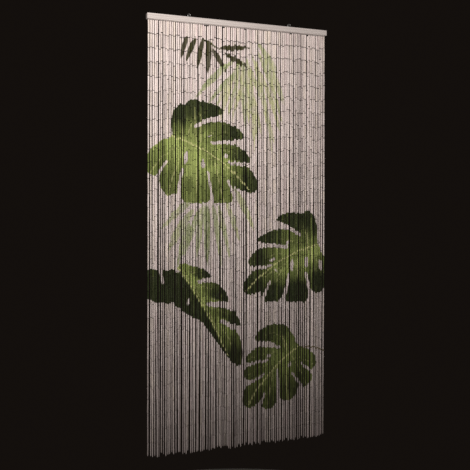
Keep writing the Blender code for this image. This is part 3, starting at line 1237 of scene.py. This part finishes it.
def leaf_numbers(x, z):
    """The seven numbers that the paint reads, for every point."""
    found = {key: np.full(len(x), start) for key, start in BLANK.items()}
    for leaf in LEAVES:
        made = broad_leaf(x, z, leaf)
        mine = (made["leaf_edge"] > 0) | (made["leaf_edge"] > found["leaf_edge"])
        for key, values in made.items():
            found[key][mine] = values[mine]
    for row in (row for leaflets in FRONDS.values() for row in leaflets):
        inside, _, _ = finger(x, z, row, leaflet_width)
        mine = inside > found["frond_edge"]
        found["frond_edge"][mine] = inside[mine]
        found["frond_tone"][mine] = row[6]
    found["stalk"], _ = line_offset(x, z, STALK)
    return found


# %% [markdown]
# ## Painting the bunches
#
# Each bunch is now a plain mesh, and each of its points knows its place. The leaf numbers are
# worked out there and stored as attributes of the mesh. The strands have slipped a little since
# they were painted, so the picture is a few millimetres out of step from strand to strand. Each
# tube also gets a patch of its own in the piece's map, so that a baked copy of the finish has
# room for every tube.

# %% Attributes and maps
SLIP_SPREAD = 0.0028
SLIP_MOST = 0.006
SLIP_SEED = 5
MAP_COLUMNS = 48
MAP_ROWS = 12
MAP_MARGIN = 0.04


def read(data, key, kind, width=1):
    """One number, or a row of numbers, from each item of a mesh, as an array."""
    flat = np.empty(len(data) * width, kind)
    data.foreach_get(key, flat)
    return flat.reshape(-1, width) if width > 1 else flat


def own_patches(mesh, columns, rows):
    """Moves every copy's patch of the map into a cell of its own, and returns the copies."""
    layer = mesh.uv_layers[MAP_NAME]
    copies = read(mesh.attributes["tube"].data, "value", np.int32)
    number = copies[read(mesh.loops, "vertex_index", np.int32)]
    places = read(layer.data, "uv", np.float32, 2) * (1 - 2 * MAP_MARGIN) + MAP_MARGIN
    places[:, 0] = (places[:, 0] + number % columns) / columns
    places[:, 1] = (places[:, 1] + number // columns) / rows
    layer.data.foreach_set("uv", places.ravel())
    return copies


def paint_bunch(mesh, first_strand):
    tube = own_patches(mesh, MAP_COLUMNS, MAP_ROWS)
    x, _, z = read(mesh.vertices, "co", np.float32, 3).astype(float).T
    slip = np.random.default_rng(SLIP_SEED).normal(0, SLIP_SPREAD, STRANDS)
    slip = slip.clip(-SLIP_MOST, SLIP_MOST)[first_strand + tube // TUBES_EACH]
    for key, values in leaf_numbers(x, z + slip).items():
        store(mesh, key, values.astype(np.float32))


for index, obj in enumerate(bunches):
    paint_bunch(obj.data, index * STRANDS // BUNCHES)
    part_of_curtain(obj, "tube_strands")
print("painted", sum(len(o.data.vertices) for o in bunches), "points")

# %% [markdown]
# ## Wire links and the strip
#
# A wire link joins each tube to the next and disappears into both bores. It is an oval of thin
# steel wire, three-sided here because it is under a millimetre thick. The same tree hangs the
# links, with another shape and another cloud of points. The strands hang in a row from a narrow
# strip that is pinned under the batten, and their first links go into it.

# %% Links
LINK_WIRE = 0.0008
LINK_WIDTH = 0.0026
LINK_LENGTH = 0.0060
LINK_INTO_BORES = 0.0026
LINK_STEPS = 8
LINK_SIDES = 3
LINK_SEED = 11
LINK_COLUMNS = 31
LINK_ROWS = 90
# Both link colours are darker than bare steel: rust, and painted shade of the joints.
LINK_BROWN = (0.060, 0.042, 0.032)
LINK_GREY = (0.150, 0.138, 0.128)
LINK_RUST = (300.0, 300.0, 120.0)


def dull_wire_and_shade():
    """Brown, dull steel wire, painted darker still as the shade in the joints between the tubes."""
    made, tree, shader = finish("Dull steel wire", 0.80)
    shader.inputs["Specular IOR Level"].default_value = 0.0
    rust = noise(tree, LINK_RUST, 3.0, 0.6)
    colour = blend_colours(tree, spread(tree, rust, 0.38, 0.66), LINK_BROWN, LINK_GREY)
    plug(tree, colour, shader.inputs["Base Color"])
    plug(tree, spread(tree, rust, 0.3, 0.7, 0.86, 0.70), shader.inputs["Roughness"])
    return made


def link_kind():
    """One oval ring of wire, upright and about its own middle."""
    points, faces, patches = [], [], []
    wide, long = (LINK_WIDTH - LINK_WIRE) / 2, (LINK_LENGTH - LINK_WIRE) / 2
    for step in range(LINK_STEPS):
        angle = 2 * math.pi * step / LINK_STEPS
        out = Vector((math.cos(angle), 0.0, math.sin(angle)))
        middle = Vector((out.x * wide, 0.0, out.z * long))
        for side in range(LINK_SIDES):
            turn = 2 * math.pi * side / LINK_SIDES
            around = out * math.cos(turn) + Vector((0.0, math.sin(turn), 0.0))
            points.append(middle + around * LINK_WIRE / 2)
    for step in range(LINK_STEPS):
        for side in range(LINK_SIDES):
            a, b = step * LINK_SIDES + side, step * LINK_SIDES + (side + 1) % LINK_SIDES
            c, d = (a + LINK_SIDES) % len(points), (b + LINK_SIDES) % len(points)
            faces.append((a, b, d, c))
            left, right = step / LINK_STEPS, (step + 1) / LINK_STEPS
            low, high = side / LINK_SIDES, (side + 1) / LINK_SIDES
            patches.append([(left, low), (left, high), (right, high), (right, low)])
    return bpy.data.objects.new("link_0", mapped_mesh("link_0", points, faces, patches))


def link_points():
    """For every link: its middle between two tubes, and the stretch that lets it reach both."""
    strip_foot = np.full((STRANDS, 1), STRIP_TOP - STRIP_THICKNESS)
    upper = np.concatenate([strip_foot, tube_bottoms[:, :-1]], axis=1)
    middle = (upper + tube_tops) / 2
    reach = (upper - tube_tops) + LINK_INTO_BORES
    one = np.ones_like(middle)
    return {
        "middle": np.stack([on_line(line_x, middle), on_line(line_y, middle), middle], -1),
        "lean": np.zeros((*middle.shape, 3)),
        "stretch": np.stack([one, one, reach / LINK_LENGTH], -1),
        "kind": np.zeros(middle.shape, int),
    }


link_kinds = shelf("Link kinds", [link_kind()])
every = slice(0, STRANDS)
links = hang_up("wire_links", link_points(), every, link_kinds, LINK_SEED, dull_wire_and_shade())
own_patches(links.data, LINK_COLUMNS, LINK_ROWS)
part_of_curtain(links, "tube_strands")
print("links:", len(links.data.polygons), "faces")

# %% Strip
STRIP_LENGTH = 0.886
STRIP_WIDTH = 0.0074
STRIP_EDGE = 0.0003
STRIP_ROUNDNESS = 0.6


def hanging_strip():
    middle = Matrix.Translation((0.0, 0.0, STRIP_TOP - STRIP_THICKNESS / 2))
    size = Matrix.Diagonal((STRIP_LENGTH, STRIP_WIDTH, STRIP_THICKNESS, 1.0))
    work = bmesh.new()
    bmesh.ops.create_cube(work, size=1.0, matrix=middle @ size)
    bmesh.ops.bevel(
        work,
        geom=work.edges[:],
        offset=STRIP_EDGE,
        segments=2,
        profile=STRIP_ROUNDNESS,
        affect="EDGES",
    )
    mesh = bpy.data.meshes.new("hanging_strip")
    work.to_mesh(mesh)
    work.free()
    obj = link(bpy.data.objects.new("hanging_strip", mesh))
    give_finish(obj, white_wood)
    return part_of_curtain(obj, "tube_strands")


strip = hanging_strip()
print("strip faces:", len(strip.data.polygons))
for kinds in (tube_kinds, link_kinds):
    for source in list(kinds.objects):
        bpy.data.objects.remove(source, do_unlink=True)
    bpy.data.collections.remove(kinds)

# %% [markdown]
# ## Floor and light
#
# The curtain hangs well clear of a plain pale floor. One soft light stands beside the camera and
# leans up and to the left, so the batten is brightest at its left end and the strands grow
# dimmer towards the floor. An area light spreads its power evenly unless its spread is narrowed,
# and a narrower spread fades towards its rim, which gives that slow fall of light. Weak lights in
# front and behind keep the other sides readable. The world stays dark, so that the gaps between
# the strands read as dark lines.

# %% Floor
FLOOR_HEIGHT = -2.62
FLOOR_RADIUS = 1.5
FLOOR_SIDES = 96
FLOOR_DARK = (0.50, 0.48, 0.46)
FLOOR_LIGHT = (0.56, 0.54, 0.52)
FLOOR_MOTTLE = (3.0, 3.0, 3.0)


def pale_floor():
    made, tree, shader = finish("Pale plain floor", 0.85)
    mottle = spread(tree, noise(tree, FLOOR_MOTTLE, 4.0), 0.3, 0.7)
    colour = blend_colours(tree, mottle, FLOOR_DARK, FLOOR_LIGHT)
    plug(tree, colour, shader.inputs["Base Color"])
    mesh = bpy.data.meshes.new("floor")
    turns = np.linspace(0, 2 * math.pi, FLOOR_SIDES, endpoint=False)
    rim = [(FLOOR_RADIUS * math.cos(a), FLOOR_RADIUS * math.sin(a), FLOOR_HEIGHT) for a in turns]
    mesh.from_pydata(rim, [], [tuple(range(FLOOR_SIDES))])
    obj = link(bpy.data.objects.new("floor", mesh))
    give_finish(obj, made)


pale_floor()
print("floor at", FLOOR_HEIGHT)

# %% Light
# Name, place, aim, side in metres, watts, opening in degrees, colour
LIGHTS = [
    ("Key_light", (-1.30, -3.20, -0.70), (-0.49, 0.0, 0.165), 0.30, 35.9, 85.4, (1.0, 0.965, 0.93)),
    ("Front_fill", (0.6, -2.6, -0.6), (0.05, 0.0, -0.80), 1.4, 1.0, 38.0, (1.0, 0.97, 0.94)),
    ("Back_fill", (1.0, 2.4, 0.2), (0.0, 0.0, -0.7), 1.2, 11.5, 90.0, (1.0, 0.98, 0.96)),
]
WORLD = (0.0068, 0.0050, 0.0040)


def area_light(name, at, aim, side, watts, opening, colour):
    data = bpy.data.lights.new(name, "AREA")
    data.shape = "SQUARE"
    data.size = side
    data.energy = watts
    data.color = colour
    data.spread = math.radians(opening)
    obj = link(bpy.data.objects.new(name, data))
    obj.location = at
    obj.rotation_euler = (Vector(aim) - Vector(at)).to_track_quat("-Z", "Y").to_euler()


for light in LIGHTS:
    area_light(*light)
world = bpy.data.worlds.new("Dark room")
world.use_nodes = True
world.node_tree.nodes["Background"].inputs["Color"].default_value = (*WORLD, 1.0)
bpy.context.scene.world = world
bpy.context.scene.view_settings.view_transform = "Standard"
print("lights:", [light[0] for light in LIGHTS])
